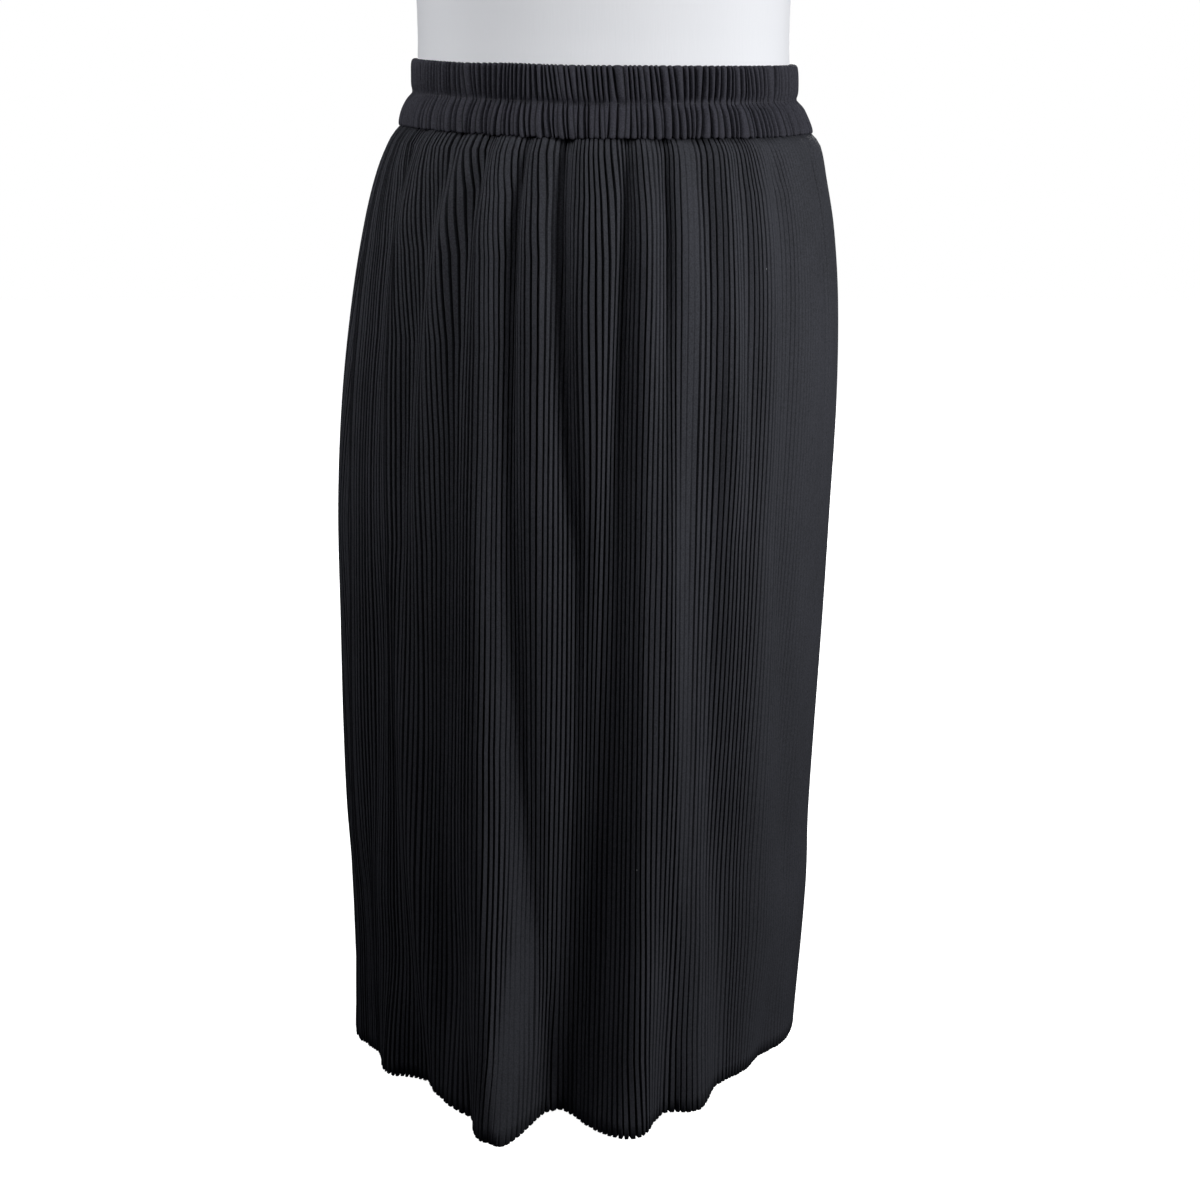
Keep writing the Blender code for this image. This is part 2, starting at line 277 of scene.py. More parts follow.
# where the cloth is pulled flat: turn at the three heights, width, share of the pleats' depth lost at each
flatPlaces = (
    (67, 67, 64, 43, 0.91, 0.90, 0.90),
    (20.4, 18, 20.3, 2.6, 0.80, 0.80, 0.60),
    (11.2, 10.9, 11.6, 1.9, 0.70, 0.55, 0.40),
    (-24.7, -21.7, -14.7, 2.2, 0.55, 0.60, 0.88),
    (-11.5, -10.1, -8.3, 1.8, 0.50, 0.40, 0.50),
    (112, 108, 104, 17, 0.80, 0.75, 0.70),
    (157, 156, 158, 3.4, 0.65, 0.70, 0.60),
    (207, 209, 207, 3.2, 0.60, 0.65, 0.55),
)

# last shifts of the hem, which fade out above it: turn, width, distance outwards. The front ones were
# fitted to the photograph's hem line.
hemShifts = (
    (-73, 8, 0.0045),
    (-48.5, 4.7, 0.0095),
    (-27, 3.5, 0.0074),
    (-21.4, 1.7, -0.0034),
    (-13.2, 1.3, 0.0090),
    (-11.2, 1.1, -0.0110),
    (-2.3, 4, 0.0050),
    (7.7, 2.6, 0.0034),
    (18.2, 4.8, 0.0037),
    (56, 7.9, -0.0074),
    (129, 5, 0.0050),
    (171, 4, -0.0060),
    (216, 4, 0.0060),
)

# creases that lead the others: turn at ten heights, from the seam down to the hem. The front ones were
# traced in the photograph and smoothed.
leadCreases = (
    (-60.3, -56, -52.4, -49.4, -47.9, -47.1, -49.3, -50.6, -49.4, -48.4),
    (-51.2, -47.6, -44, -40.6, -38.7, -37.4, -37.2, -37.4, -38.5, -39.5),
    (-43.5, -40.6, -37.4, -34.4, -32.4, -31, -30.6, -31.2, -31.2, -31),
    (-29.6, -27.4, -25.8, -24.7, -24.1, -23.8, -23.2, -21.8, -20.2, -19.7),
    (-22.3, -21.1, -20.2, -19.5, -19.1, -18.9, -18.6, -17.2, -15.6, -14.8),
    (-15.5, -14, -13.1, -12.6, -12.3, -12.2, -12.6, -13, -12.3, -11.9),
    (-7.7, -7.3, -6.9, -6.9, -7.1, -7.3, -7.6, -8.2, -8.5, -8.3),
    (-1.3, -0.6, -0.3, -0.5, -0.8, -1.1, -1.7, -2.4, -2.6, -2.4),
    (6.7, 6.9, 6.6, 6.1, 5.8, 5.7, 5.1, 4.2, 3.3, 3.1),
    (13.5, 13.5, 13, 12.5, 12.2, 12, 11.3, 10.1, 9.1, 9.1),
    (20.8, 20.6, 20.1, 19.9, 19.7, 19.6, 18.8, 17.4, 16.4, 16.4),
    (29.9, 29.7, 29.2, 28.5, 28.1, 28.1, 27.4, 25.5, 23.8, 23.4),
    (37.7, 38.3, 37.9, 37.4, 36.7, 35.9, 35.3, 34.8, 34.6, 35.1),
    (46.1, 48.4, 48.2, 47.3, 46.7, 46.6, 45.6, 44.8, 45, 46.1),
    (54.5, 57, 56.6, 56.3, 55.6, 55.3, 54.6, 54.2, 55.6, 57.6),
    (121, 123, 126.2, 131, 131.9, 133, 132, 131, 130.4, 130),
    (131, 132.8, 135.7, 140, 140.9, 142, 142, 142, 141.1, 140.5),
    (146, 147, 148.6, 151, 151.9, 153, 153.5, 154, 155.2, 156),
    (157, 157.6, 158.6, 160, 160.5, 161, 161.5, 162, 163.2, 164),
    (168, 168.4, 169, 170, 170.2, 170.5, 170.2, 170, 169.7, 169.5),
    (178.5, 178.6, 178.8, 179, 179, 179, 179.2, 179.5, 179.8, 180),
    (188.5, 188.3, 188, 187.5, 187.3, 187, 187.5, 188, 187.7, 187.5),
    (199, 198.8, 198.5, 198, 197.8, 197.5, 198, 198.5, 197.6, 197),
    (210, 209.6, 209, 208, 207.8, 207.5, 207, 206.5, 207.4, 208),
    (222, 221.3, 220.2, 218.5, 217.8, 217, 216.5, 216, 215.4, 215),
    (236, 235, 233.4, 231, 230.1, 229, 229, 229, 229.6, 230),
)

pleats = {
    "perPanel": 148,
    "rows": 84,
    "rowCrowding": 0.45,         # rows crowd towards the seam
    "clothInPleat": 0.0098,      # cloth taken by one pleat, so that a stretched pleat is a shallow one
    "groove": 0.21,              # half of the groove between two ribs, as a share of a pleat
    "ribTilt": 0.10,
    "mostTilt": 0.3,
    "unevenPitch": 0.07,
    "unevenDepth": 0.10,
    "leastDepth": 0.0004,
    "plainLine": 0.6,            # share of a pleat's depth that lies inside the plain cloth line
    "wall": 0.0007,
    "foldTopHeight": 0.665,
    "foldMiddleHeight": 0.330,
    "swellAtSeam": 0.15,
    "valleyHeights": (0.15, 0.45, 0.70),
    "valleyAtSeam": 0.65,
    "leadHeights": (0.0, 0.06, 0.15, 0.30, 0.45, 0.53, 0.60, 0.66, 0.70, 0.728),
    "samples": 1800,             # points along half a ring, before the pleats are laid out
    "seamGap": 0.0001,
    "seamPress": 0.35,           # share of the depth that the seam presses flat
    "seamPressHeight": 0.012,
    "liftFrom": 0.60,            # from here up the panel follows the band's slant
    "sway": 0.0009,              # how far a crease strays sideways
    "swayFade": 0.05,
    "hemWander": 0.0005,
    "hemFlare": 0.45,
    "hemFlareHeight": 0.03,
    "hemShiftHeight": 0.12,
}

# how wide the pleats want to be, as shares of the usual width
spacing = {
    "stretchedTurn": 75.0,       # round here the cloth is pulled and the pleats are wide
    "stretchedReach": 40.0,
    "stretchedGain": 0.16,
    "unevenGain": 0.12,
    "crowdedFrom": 0.35,         # the valleys crowd the pleats more from this height up
    "crowdedRise": 0.33,
    "crowdedBelow": 0.25,
    "narrowAfter": 0.26,
    "narrowPlace": 1.2,          # in widths of the valley, as widePlace and wideReach are
    "wideBefore": 0.40,
    "widePlace": 2.0,
    "wideReach": 1.3,
    "narrowest": 0.5,
}


def alongFold(height, atTop, atMiddle, atHem):
    up = min(height / pleats["foldTopHeight"], 1.0)
    middle = pleats["foldMiddleHeight"] / pleats["foldTopHeight"]
    hemShare = (1.0 - up) * (middle - up) / middle
    middleShare = up * (1.0 - up) / (middle * (1.0 - middle))
    topShare = up * (up - middle) / (1.0 - middle)
    return atTop * topShare + atMiddle * middleShare + atHem * hemShare


def angleAway(turns, turn):
    return (turns - turn + 180.0) % 360.0 - 180.0


def clothLine(turns, height):
    # plan line that the pleats are laid along, with folds and valleys
    line = ovalPoints(turns, *sectionAt(skirtSections, height))
    swell = np.zeros(len(turns))
    down = eased(1.0 - height / pleats["foldTopHeight"])
    for fold in skirtFolds:
        away = angleAway(turns, alongFold(height, *fold[:3]))
        wideTop, wideBefore, wideAfter = fold[3:6]
        wide = wideTop + (np.where(away < 0, wideBefore, wideAfter) - wideTop) * down
        swell += alongFold(height, *fold[6:]) * np.exp(-((away / wide) ** 2))
    nearSeam = eased((height - pleats["foldTopHeight"]) / (panelTop - pleats["foldTopHeight"]))
    swell *= 1.0 + (pleats["swellAtSeam"] - 1.0) * nearSeam
    for valley in skirtValleys:
        away, wide = valleyAt(valley, turns, height)
        deep = alongValley(height, *valley[5:]) * 0.001 * valleyShare(height)
        swell -= deep * np.exp(-((away / wide) ** 2))
    if height < pleats["hemShiftHeight"]:
        fade = eased(1.0 - height / pleats["hemShiftHeight"])
        for turn, wide, shift in hemShifts:
            swell += shift * fade * np.exp(-((angleAway(turns, turn) / wide) ** 2))
    lifted = 1.0 + swell / np.linalg.norm(line, axis=1)
    return line * lifted[:, None]


def alongValley(height, atTop, atMiddle, atHem):
    return float(np.interp(height, pleats["valleyHeights"], (atHem, atMiddle, atTop)))


def valleyAt(valley, turns, height):
    # degrees away from a valley's line, and how wide the valley is there
    wideTop, wideHem = valley[3:5]
    away = angleAway(turns, alongValley(height, *valley[:3]))
    return away, alongValley(height, wideTop, (wideTop + wideHem) / 2, wideHem)


def valleyShare(height):
    # the valleys run out at the hem and are sewn shallower at the seam
    low, _, top = pleats["valleyHeights"]
    if height < low:
        return height / low
    return 1.0 + (pleats["valleyAtSeam"] - 1.0) * eased((height - top) / (panelTop - top))


def pleatWidths(turns, height):
    # a pleat wants to be wider on the stretched side, narrow just after a valley and wide before the next
    stretched = angleAway(turns, spacing["stretchedTurn"]) / spacing["stretchedReach"]
    width = 1.0 + spacing["stretchedGain"] * np.exp(-(stretched ** 2))
    width += spacing["unevenGain"] * wander(turns, 31, (6, 11, 17), height, 4.0)
    rise = eased((height - spacing["crowdedFrom"]) / spacing["crowdedRise"])
    bunched = spacing["crowdedBelow"] + (1.0 - spacing["crowdedBelow"]) * rise
    for valley in skirtValleys:
        away, wide = valleyAt(valley, turns, height)
        strength = bunched * min(valley[5] / 5.0, 1.0)       # a valley 5 mm deep at the top crowds them fully
        after = (away - spacing["narrowPlace"] * wide) / wide
        before = (away + spacing["widePlace"] * wide) / (spacing["wideReach"] * wide)
        width -= spacing["narrowAfter"] * strength * np.exp(-(after ** 2))
        width += spacing["wideBefore"] * strength * np.exp(-(before ** 2))
    return np.maximum(width, spacing["narrowest"])


def clothUsed(line, turns, height):
    # distance along a plan line, and the share of the cloth that is used up by then
    steps = np.concatenate([[0.0], np.cumsum(np.linalg.norm(np.diff(line, axis=0), axis=1))])
    wanted = pleatWidths(turns, height)
    used = np.concatenate([[0.0], np.cumsum(np.diff(steps) / (0.5 * (wanted[1:] + wanted[:-1])))])
    return steps, used / used[-1]


def leadTurns(turns, height):
    # where one panel's leading creases are, between its two side seams
    places = [float(np.interp(height, pleats["leadHeights"], crease[::-1])) for crease in leadCreases]
    return np.array([turns[0], *[turn for turn in places if turns[0] < turn < turns[-1]], turns[-1]])


def pulledFlat(turns, height):
    # share of the pleats' depth that is left
    left = np.ones(len(turns))
    for turnTop, turnMiddle, turnHem, wide, *lost in flatPlaces:
        away = angleAway(turns, alongValley(height, turnTop, turnMiddle, turnHem))
        left *= 1.0 - alongValley(height, *lost) * np.exp(-((away / wide) ** 4))
    return left


def pleatLayout(seed):
    # three points a pleat: their shares of a panel's cloth, their places on the flat cloth in metres,
    # how far each is lifted, as a share of the pleat's depth, and how deep each pleat is beside the others
    count, groove, most = pleats["perPanel"], pleats["groove"], pleats["mostTilt"]
    dice = np.random.default_rng(seed)
    starts = np.concatenate([[0.0], np.cumsum(1.0 + pleats["unevenPitch"] * dice.normal(size=count))])
    starts = starts / starts[-1]
    inPleat = np.array([0.0, groove, 1.0 - groove])       # the groove's bottom and the rib's two edges
    shares = np.append((starts[:-1, None] + np.diff(starts)[:, None] * inPleat).ravel(), 1.0)
    places = pleats["clothInPleat"] * np.append((np.arange(count)[:, None] + inPleat).ravel(), count)
    tilt = pleats["ribTilt"] * dice.normal(size=count)
    ribEdges = (1.0 - np.clip(tilt, 0.0, most), 1.0 + np.clip(tilt, -most, 0.0))
    lifts = np.column_stack([np.zeros(count), *ribEdges])
    depths = np.repeat(1.0 + pleats["unevenDepth"] * dice.normal(size=count), 3)
    return shares, places, np.append(lifts.ravel(), 0.0), np.append(depths, 1.0)


def pleatDepths(target):
    # how deep the cloth of each pleat can stand at its pitch, before chance and pull are counted
    groove = pleats["groove"]
    widths = np.diff(target[::3])
    pitch = np.append(np.repeat(widths, 3), widths[-1])
    flank = np.maximum(pleats["clothInPleat"] - (1.0 - 2.0 * groove) * pitch, 0.0) / 2
    return np.sqrt(np.maximum(flank**2 - (groove * pitch) ** 2, pleats["leastDepth"] ** 2))


def pleatedPanel(name, startTurn, seed, material, replaced):
    turns = startTurn + 180.0 * np.arange(pleats["samples"] + 1) / pleats["samples"]
    shares, clothPlaces, lifts, depthDice = pleatLayout(seed)
    alongRows = np.linspace(0.0, 1.0, pleats["rows"])
    heights = panelTop * (alongRows + pleats["rowCrowding"] * alongRows * (1.0 - alongRows))
    halfWay = pleats["leadHeights"][4]
    usedHalfWay = clothUsed(clothLine(turns, halfWay), turns, halfWay)[1]
    leadShares = np.interp(leadTurns(turns, halfWay), turns, usedHalfWay)
    gap, press, lift = pleats["seamGap"] / 2, pleats["seamPressHeight"], pleats["liftFrom"]
    outer, inner, uvOuter, pressed = [], [], [], []
    for height in heights:
        line = clothLine(turns, height)
        steps, used = clothUsed(line, turns, height)
        led = np.interp(shares, leadShares, np.interp(leadTurns(turns, height), turns, used))
        target = np.interp(led, used, steps)
        sway = pleats["sway"] * wander(shares * 180.0 + startTurn, seed + 7, (9, 15, 26), height, 14.0)
        sway = sway * np.minimum(1.0, 12.0 * shares * (1.0 - shares))      # none at the side seams
        target = target + sway * eased((panelTop - height) / pleats["swayFade"])
        target = np.clip(np.maximum.accumulate(target), gap, steps[-1] - gap)
        here = np.interp(target, steps, turns)
        place = np.stack([np.interp(target, steps, line[:, axis]) for axis in (0, 1)], 1)
        normals = outwardOf(line, closed=False)
        outward = np.stack([np.interp(target, steps, normals[:, axis]) for axis in (0, 1)], 1)
        outward /= np.linalg.norm(outward, axis=1)[:, None]
        pressed.append(pulledFlat(here, height))
        depth = pleatDepths(target) * depthDice * pressed[-1]
        depth = depth * (1.0 + pleats["hemFlare"] * eased(1.0 - height / pleats["hemFlareHeight"]))
        depth = depth * (1.0 - pleats["seamPress"] * eased((height - panelTop + press) / press))
        out = (lifts - pleats["plainLine"]) * depth
        z = hemZ + height + bandLift(here) * eased((height - lift) / (panelTop - lift))
        if height == 0.0:
            z = z + pleats["hemWander"] * wander(here, seed + 1, (17, 29, 61, 97))
        outer.append(np.column_stack([place + outward * out[:, None], z]))
        inner.append(np.column_stack([place + outward * (out - pleats["wall"])[:, None], z]))
        uvOuter.append(np.column_stack([clothPlaces, np.full(len(out), height)]))
    rings = outer + inner[::-1]
    mesh = shellMesh(name, rings, wrapColumns=False, wrapRings=True, uv=uvOuter + uvOuter[::-1])
    depthLeft = mesh.attributes.new("pressed", "FLOAT", "POINT")
    depthLeft.data.foreach_set("value", np.ravel(pressed + pressed[::-1]))
    closeSides(mesh, len(heights), len(shares))
    facesOut(mesh)
    markCreases(mesh, len(shares))
    piece = addPiece(name, mesh, material, replaced)


def markCreases(mesh, width):
    # pressed creases shade as sharp edges: the bottom of each groove and the two edges of each rib
    ends = np.zeros(len(mesh.edges) * 2, dtype=np.int32)
    mesh.edges.foreach_get("vertices", ends)
    column = ends.reshape(-1, 2) % width
    flags = mesh.attributes.new("sharp_edge", "BOOLEAN", "EDGE")
    flags.data.foreach_set("value", column[:, 0] == column[:, 1])


def closeSides(mesh, rows, width):
    # the two cut edges of a panel, at the side seams
    shape = bmesh.new()
    shape.from_mesh(mesh)
    shape.verts.ensure_lookup_table()
    for column in (0, width - 1):
        for row in range(rows - 1):
            front = [shape.verts[(row + step) * width + column] for step in (0, 1)]
            behind = [shape.verts[(2 * rows - 1 - row - step) * width + column] for step in (0, 1)]
            shape.faces.new((front[0], front[1], behind[1], behind[0]))
    shape.to_mesh(mesh)
    shape.free()


# Waistband: one strip in two gathered tiers, pinched by the elastic's stitch line

# height above the seam, reach left, right, front, back, all at the gathers' crests
bandOutside = (
    (0.0000, 0.1484, 0.1512, 0.1230, 0.1190),
    (0.0010, 0.1500, 0.1532, 0.1254, 0.1214),
    (0.0050, 0.1494, 0.1520, 0.1245, 0.1202),
    (0.0110, 0.1474, 0.1493, 0.1219, 0.1172),
    (0.0170, 0.1440, 0.1460, 0.1179, 0.1130),
    (0.0210, 0.1408, 0.1424, 0.1146, 0.1096),
    (0.0226, 0.1396, 0.1410, 0.1135, 0.1085),
    (0.0242, 0.1399, 0.1414, 0.1139, 0.1089),
    (0.0280, 0.1404, 0.1421, 0.1146, 0.1096),
    (0.0360, 0.1403, 0.1420, 0.1144, 0.1094),
    (0.0420, 0.1400, 0.1414, 0.1138, 0.1088),
    (0.0446, 0.1392, 0.1404, 0.1128, 0.1078),
    (0.0456, 0.1376, 0.1388, 0.1112, 0.1062),
)

band = {
    "gathers": 186,
    "seed": 11,
    "unevenWidth": 0.34,
    "widthLimits": (0.5, 1.8),
    "wideGathersAt": (66.0, 240.0),
    "wideGathersReach": 34.0,
    "wideGathersGain": 0.8,
    "acrossGather": (0.0, 0.10, 0.20, 0.32, 0.50, 0.68, 0.80, 0.90),
    "crown": (0.0, 0.34, 0.67, 0.90, 1.0, 0.90, 0.67, 0.34),      # a rounded ridge between narrow creases
    "pinchShape": (0.7, 0.3, 0.1, 0.9, 0.0, 0.9, 0.1, 0.3),
    "outerRows": 40,
    "innerRows": 6,
    "rowCrowding": 0.06,
    "wall": 0.0048,
    "wallAtSeam": 0.0076,
    "seamWallHeight": 0.012,
    "thinnest": 0.0006,
    "formGap": 0.0004,
    "stitchHeight": 0.0226,
    "upperDepth": 0.0050,
    "faintAbove": (0.16, 0.30),  # how many creases are faint above the stitches, and how deep those are
    "upperRise": 0.0060,         # height in which the creases reach their depth, from the stitch line
    "lowerDepth": 0.0062,
    "goneBelow": (0.34, 0.15),   # how many run out below, so that two gathers make one wide puff
    "lowerRise": 0.0065,
    "pinchDepth": 0.0024,
    "pinchReach": 0.0024,
    "strayAtTop": 0.40,          # how far a crease strays between its neighbours
    "strayAtSeam": 0.45,
    "upperLean": -0.0030,        # how far the creases lean over the upper tier, as a share of a turn
    "lowerLean": 0.0052,
    "lowerSway": 0.0016,
    "puff": 0.0007,
    "tiltLeft": 0.0034,          # the band rides a little higher at the viewer's left
    "tiltFarLeft": 0.0014,
    "tiltRight": 0.0010,
    "topRaise": 0.0014,
    "topScallop": 0.0008,
    "topEdge": (0.040, 0.0056),  # where the top edge's rounding starts, and its height
    "hang": 0.0016,              # how far a puff sags over the seam
    "cutWidth": 1.30,            # the strip before the elastic drew it in
    "cutHeight": 0.09,           # the strip before it was folded over
}


def bandLine(turns, height, inwards=0.0):
    line = ovalPoints(turns, *sectionAt(bandOutside, height))
    return line - outwardOf(line, closed=True) * inwards


def bandLift(turns):
    side = np.sin(np.radians(turns))
    left, right = np.clip(-side, 0.0, 1.0), np.clip(side, 0.0, 1.0)
    return band["tiltLeft"] * eased(left) + band["tiltFarLeft"] * left**6 - band["tiltRight"] * eased(right)


def gatherCreases():
    # the creases' places at the seam, the stitch line and the top edge, as shares of a turn, and their depths
    count, seed = band["gathers"], band["seed"]
    dice = np.random.default_rng(seed)
    widths = np.clip(np.exp(dice.normal(0.0, band["unevenWidth"], count)), *band["widthLimits"])
    roughTurns = 360.0 * np.arange(count) / count
    for turn in band["wideGathersAt"]:
        near = np.exp(-((angleAway(roughTurns, turn) / band["wideGathersReach"]) ** 2))
        widths *= 1.0 + band["wideGathersGain"] * near
    atStitch = np.cumsum(widths) / widths.sum()
    room = np.minimum(widths, np.roll(widths, -1)) / widths.sum()
    turns = 360.0 * atStitch
    atTop = atStitch + room * dice.uniform(-band["strayAtTop"], band["strayAtTop"], count)
    atTop += band["upperLean"] * (0.5 + 0.9 * wander(turns, seed + 1, (4, 7, 12)))
    atSeam = atStitch + room * dice.uniform(-band["strayAtSeam"], band["strayAtSeam"], count)
    lean = band["lowerLean"] * np.sin(2.0 * np.radians(turns))
    atSeam -= lean + band["lowerSway"] * wander(turns, seed + 2, (6, 11))
    upper, lower = dice.uniform(0.55, 1.0, count), dice.uniform(0.6, 1.0, count)
    faintShare, faintDepth = band["faintAbove"]
    goneShare, goneDepth = band["goneBelow"]
    upper[dice.random(count) < faintShare] *= faintDepth
    gone = dice.random(count) < goneShare
    lower[gone & ~np.roll(gone, 1)] *= goneDepth      # never two side by side
    return atSeam, atStitch, atTop, upper, lower


def makeWaistband(material):
    across = np.array(band["acrossGather"])
    stitch, count = band["stitchHeight"], band["gathers"]
    atSeam, atStitch, atTop, upper, lower = gatherCreases()
    dice = np.random.default_rng(band["seed"] + 1)
    pinch = np.repeat(dice.uniform(0.3, 1.0, count), len(across)) * np.tile(band["pinchShape"], count)
    puff = np.repeat(dice.uniform(-1.0, 1.0, count), len(across))
    crown = np.tile(band["crown"], count)

    def spread(strength):
        return (strength[:, None] * (1.0 - across) + np.roll(strength, -1)[:, None] * across).ravel()

    upper, lower = spread(upper), spread(lower)
    clothPlaces = band["cutWidth"] / count * (np.arange(count)[:, None] + across).ravel()
    rings, uvRings = [], []

    def addRing(height, inner):
        if height > stitch:
            creases = atStitch + (atTop - atStitch) * (height - stitch) / (bandHeight - stitch)
        else:
            creases = atSeam + (atStitch - atSeam) * (height / stitch) ** 0.8
        widths = np.diff(np.append(creases, creases[0] + 1.0))
        shares = (creases[:, None] + widths[:, None] * across).ravel()
        turns = 360.0 * shares
        edgeStart, edgeHeight = band["topEdge"]
        nearTop = eased((height - edgeStart) / edgeHeight)
        z = seamZ + height + bandLift(turns)
        side = np.sin(np.radians(turns))
        # the top edge stands a little higher everywhere but at the far left
        z = z + band["topRaise"] * eased((side + 0.72) / 0.30) * eased((height - 0.026) / 0.018)
        z = z + band["topScallop"] * (crown - 0.7) * nearTop
        torsoSide, torsoFront, torsoBack = sectionAt(torsoSections, seamZ + height)
        most = np.linalg.norm(bandLine(turns, height), axis=1)
        thick, thin = band["wallAtSeam"], band["wall"]
        wall = thick + (thin - thick) * eased(height / band["seamWallHeight"])
        torsoLine = ovalPoints(turns, torsoSide, torsoSide, torsoFront, torsoBack)
        body = np.linalg.norm(torsoLine, axis=1) + band["formGap"]
        wall = np.minimum(wall, most - body)
        if inner:
            rings.append(np.column_stack([bandLine(turns, height, wall[:, None]), z]))
            uvRings.append(np.column_stack([clothPlaces, np.full(len(turns), band["cutHeight"] - height)]))
            return
        above = eased((height - stitch + 0.001) / band["upperRise"])
        below = eased((stitch + 0.001 - height) / band["lowerRise"])
        nearStitch = math.exp(-(((height - stitch) / band["pinchReach"]) ** 2))
        inward = (1.0 - crown) * upper * band["upperDepth"] * above * (1.0 - 0.45 * nearTop)
        lowerShare = below * (0.8 + 0.2 * eased(height / 0.004))      # a little shallower right at the seam
        inward = inward + (1.0 - crown) * lower * band["lowerDepth"] * lowerShare
        inward = inward + pinch * band["pinchDepth"] * nearStitch
        inward = inward - band["puff"] * puff * crown * (0.9 * below + 0.35 * above) * (1.0 - nearStitch)
        inward = np.minimum(inward, wall - band["thinnest"])
        if height > 0.0:
            z = z - band["hang"] * crown * (0.7 + 0.3 * puff) * (1.0 - eased(height / 0.005))
        else:
            z = z + pleats["seamGap"]
        rings.append(np.column_stack([bandLine(turns, height, inward[:, None]), z]))
        uvRings.append(np.column_stack([clothPlaces, np.full(len(turns), height)]))

    rise = np.linspace(0.0, 1.0, band["outerRows"])
    rise = rise - band["rowCrowding"] * np.sin(2 * math.pi * rise)      # rows crowd at the seam and the top
    for height in bandHeight * rise:
        addRing(height, inner=False)
    for step in range(band["innerRows"]):
        addRing(bandHeight * (1.0 - (step + 0.35) / (band["innerRows"] - 0.3)), inner=True)
    mesh = shellMesh("waistbandGathers", rings, wrapColumns=True, wrapRings=True, uv=uvRings)
    facesOut(mesh)
    piece = addPiece("waistbandGathers", mesh, material, ["waistband"])


# Stitches: thread along a line, made by Geometry Nodes

stitching = {
    "length": 0.0022,
    "pitch": 0.0032,
    "radius": 0.00022,
    "inset": 0.0006,             # how deep the line lies under the crests beside it
    "guidePoints": 720,
}


def stitchTree(material):
    tree = bpy.data.node_groups.new("threadAlongLine", "GeometryNodeTree")
    face = tree.interface
    face.new_socket("Line", in_out="INPUT", socket_type="NodeSocketGeometry")
    for title in ("Pitch", "Length", "Radius"):
        face.new_socket(title, in_out="INPUT", socket_type="NodeSocketFloat")
    face.new_socket("Thread", in_out="OUTPUT", socket_type="NodeSocketGeometry")
    start = tree.nodes.new("NodeGroupInput")
    end = tree.nodes.new("NodeGroupOutput")
    curve = addNode(tree, "GeometryNodeMeshToCurve", Mesh=start.outputs["Line"])
    even = addNode(tree, "GeometryNodeResampleCurve", {".mode": "LENGTH"},
                   Curve=curve.outputs["Curve"], Length=start.outputs["Pitch"])
    points = addNode(tree, "GeometryNodeCurveToPoints", {".mode": "EVALUATED"}, Curve=even.outputs["Curve"])
    bead = addNode(tree, "GeometryNodeMeshUVSphere", {"Segments": 6, "Rings": 4, "Radius": 1.0})
    half = addNode(tree, "ShaderNodeMath", {".operation": "MULTIPLY", "1": 0.5}, _0=start.outputs["Length"])
    size = addNode(tree, "ShaderNodeCombineXYZ", X=start.outputs["Radius"], Y=start.outputs["Radius"],
                   Z=half.outputs[0])
    placed = addNode(tree, "GeometryNodeInstanceOnPoints", Points=points.outputs["Points"],
                     Instance=bead.outputs["Mesh"], Rotation=points.outputs["Rotation"],
                     Scale=size.outputs["Vector"])
    real = addNode(tree, "GeometryNodeRealizeInstances", Geometry=placed.outputs["Instances"])
    smooth = addNode(tree, "GeometryNodeSetShadeSmooth", Geometry=real.outputs["Geometry"])
    finished = addNode(tree, "GeometryNodeSetMaterial", {"Material": material},
                       Geometry=smooth.outputs["Geometry"])
    tree.links.new(finished.outputs["Geometry"], end.inputs["Thread"])
    return tree


def stitchLine(name, points, material):
    # stitches all round a closed line
    mesh = bpy.data.meshes.new(name + "Line")
    edges = [(i, (i + 1) % len(points)) for i in range(len(points))]
    mesh.from_pydata([tuple(point) for point in points], edges, [])
    guide = newObject(name + "Line", mesh)
    tree = stitchTree(material)
    modifier = guide.modifiers.new("thread", "NODES")
    modifier.node_group = tree
    named = {item.name: item.identifier for item in tree.interface.items_tree if item.in_out == "INPUT"}
    for title in ("Pitch", "Length", "Radius"):
        modifier[named[title]] = stitching[title.lower()]
    graph = bpy.context.evaluated_depsgraph_get()
    result = bpy.data.meshes.new_from_object(guide.evaluated_get(graph))
    result.name = name
    bpy.data.objects.remove(guide)
    bpy.data.meshes.remove(mesh)
    addPiece(name, result, material)


def bandStitchPoints():
    turns = np.linspace(0.0, 360.0, stitching["guidePoints"], endpoint=False)
    line = bandLine(turns, band["stitchHeight"], stitching["inset"])
    return np.column_stack([line, seamZ + band["stitchHeight"] + bandLift(turns)])


# Dress form: a jersey-covered torso, closed at the neck and underneath

